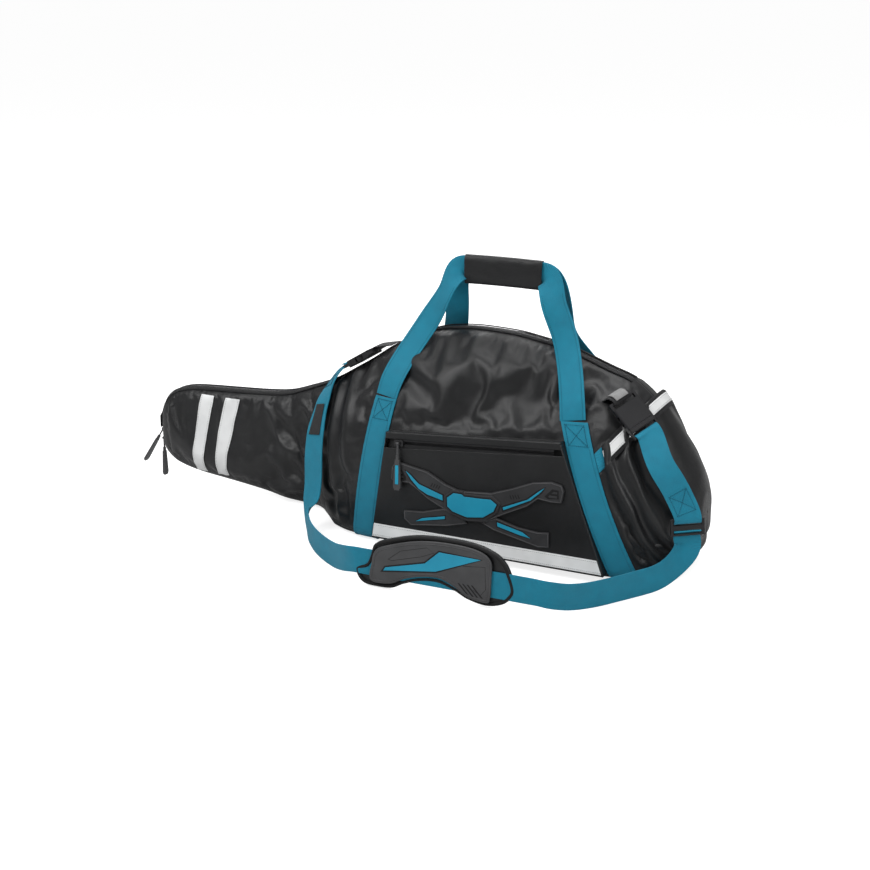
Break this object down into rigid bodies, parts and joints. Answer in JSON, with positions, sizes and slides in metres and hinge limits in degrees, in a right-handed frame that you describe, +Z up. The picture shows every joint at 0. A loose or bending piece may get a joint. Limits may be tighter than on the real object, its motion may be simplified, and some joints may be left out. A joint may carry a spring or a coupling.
{
  "type": "saw carry bag",
  "caption": "Soft carry bag for a long-bar saw: domed zipped body, flat bar sleeve, webbing handles, clip-on shoulder strap with rubber pad and zipped front pocket.",
  "frame": {"origin": "on the floor under the middle of the top grip, on the flat underside of the stiff base", "axes": "+X along the bag towards its blunt end, -Y the front with the pocket, +Z up"},
  "size_m": [1.0433, 0.4184, 0.449],
  "materials": {
    "shell_fabric": "coated woven",
    "binding": "ribbed binding",
    "webbing": "ribbed webbing",
    "black_webbing": "ribbed webbing",
    "grey_webbing": "ribbed webbing",
    "reflective": "reflective tape",
    "zip_chain": "satin",
    "buckle_plastic": "satin",
    "grey_rubber": "satin",
    "blue_rubber": "satin",
    "metal_black": "satin"
  },
  "bodies": {
    "bag": {"sleeve_front_wall": "shell_fabric", "sleeve_back_wall": "shell_fabric", "main_front_wall": "shell_fabric", "main_back_wall": "shell_fabric", "base_panel": "shell_fabric", "main_zip_chain": "zip_chain", "main_zip_tapes": "binding", "ridge_bindings": "binding", "sleeve_stripe_1": "reflective", "sleeve_stripe_2": "reflective", "leg_front_left": "webbing", "leg_back_left": "webbing", "leg_front_right": "webbing", "leg_back_right": "webbing", "pocket_panel": "shell_fabric", "pocket_flange": "shell_fabric", "pocket_zip_tapes": "binding", "pocket_chain": "zip_chain", "front_stripe": "reflective", "badge_arms": "grey_rubber", "badge_feet": "grey_rubber", "badge_plate": "grey_rubber", "badge_plate_inlay": "blue_rubber", "badge_strips": "blue_rubber", "end_pocket": "shell_fabric", "end_hem": "binding", "end_stripe": "reflective", "end_webbing": "webbing", "left_socket": "buckle_plastic", "left_plug": "buckle_plastic", "right_socket": "buckle_plastic", "right_plug": "buckle_plastic", "left_tab": "black_webbing", "right_tab": "black_webbing", "right_tab_tip": "grey_webbing", "shoulder_strap": "webbing", "strap_upper": "webbing", "strap_label": "black_webbing", "tri_glide": "buckle_plastic"},
    "front_loop": {"handle_front_loop": "webbing", "grip_wrap": "shell_fabric"},
    "flap": {"grip_flap": "shell_fabric"},
    "back_loop": {"handle_back_loop": "webbing"},
    "upper_slider": {"main_slider_upper": "metal_black"},
    "upper_pull": {"main_pull_upper": "grey_rubber", "main_pull_inlay_upper": "blue_rubber"},
    "lower_slider": {"main_slider_lower": "metal_black"},
    "lower_pull": {"main_pull_lower": "grey_rubber", "main_pull_inlay_lower": "blue_rubber"},
    "front_slider": {"pocket_slider": "metal_black"},
    "front_pull": {"pocket_pull": "grey_rubber", "pocket_pull_inlay": "blue_rubber"},
    "left_front_prong": {"left_prong_a": "buckle_plastic"},
    "left_back_prong": {"left_prong_b": "buckle_plastic"},
    "right_front_prong": {"right_prong_a": "buckle_plastic"},
    "right_back_prong": {"right_prong_b": "buckle_plastic"},
    "pad": {"pad_base": "shell_fabric", "pad_shell": "grey_rubber", "pad_inlay": "blue_rubber"}
  },
  "joints": [
    {"name": "front_loop_swing", "type": "hinge", "parent": "bag", "child": "front_loop", "pos_m": [0, -0.09685, 0.23], "axis": [1, 0, 0], "range_deg": [0, 140]},
    {"name": "back_loop_swing", "type": "hinge", "parent": "bag", "child": "back_loop", "pos_m": [0, 0.09963, 0.23], "axis": [-1, 0, 0], "range_deg": [0, 165]},
    {"name": "wrap_flap_hinge", "type": "hinge", "parent": "front_loop", "child": "flap", "pos_m": [0, 0.00135, 0.449], "axis": [1, 0, 0], "range_deg": [0, 150]},
    {"name": "upper_slider_slide", "type": "slide", "parent": "bag", "child": "upper_slider", "axis": [0, 0, 1], "range_m": [0, 0.022]},
    {"name": "upper_pull_hinge", "type": "hinge", "parent": "upper_slider", "child": "upper_pull", "pos_m": [-0.6457, 0, 0.092], "axis": [0, 1, 0], "range_deg": [0, 105]},
    {"name": "lower_slider_slide", "type": "slide", "parent": "bag", "child": "lower_slider", "axis": [0, 0, 1], "range_m": [-0.003, 0]},
    {"name": "lower_pull_hinge", "type": "hinge", "parent": "lower_slider", "child": "lower_pull", "pos_m": [-0.6457, 0, 0.075], "axis": [0, 1, 0], "range_deg": [0, 36]},
    {"name": "pocket_slider_slide", "type": "slide", "parent": "bag", "child": "front_slider", "axis": [0.9977, 0.0054, 0.0678], "range_m": [0, 0.24]},
    {"name": "pocket_pull_hinge", "type": "hinge", "parent": "front_slider", "child": "front_pull", "pos_m": [-0.118, -0.12872, 0.17139], "axis": [-0.9977, -0.0054, -0.0678], "range_deg": [0, 150]},
    {"name": "left_front_prong_press", "type": "hinge", "parent": "bag", "child": "left_front_prong", "pos_m": [-0.25532, -0.013, 0.25892], "axis": [-0.5201, 0, 0.8541], "range_deg": [0, 7], "stiffness_Nm_per_rad": 0.6},
    {"name": "left_back_prong_press", "type": "hinge", "parent": "bag", "child": "left_back_prong", "pos_m": [-0.25532, 0.013, 0.25892], "axis": [0.5201, 0, -0.8541], "range_deg": [0, 7], "stiffness_Nm_per_rad": 0.6},
    {"name": "right_front_prong_press", "type": "hinge", "parent": "bag", "child": "right_front_prong", "pos_m": [0.25876, -0.06905, 0.24503], "axis": [0.4727, -0.6585, 0.5856], "range_deg": [0, 7], "stiffness_Nm_per_rad": 0.6},
    {"name": "right_back_prong_press", "type": "hinge", "parent": "bag", "child": "right_back_prong", "pos_m": [0.24491, -0.08836, 0.23449], "axis": [-0.4727, 0.6585, -0.5856], "range_deg": [0, 7], "stiffness_Nm_per_rad": 0.6},
    {"name": "pad_slide", "type": "slide", "parent": "bag", "child": "pad", "axis": [1, 0, 0], "range_m": [-0.005, 0.018]}
  ]
}
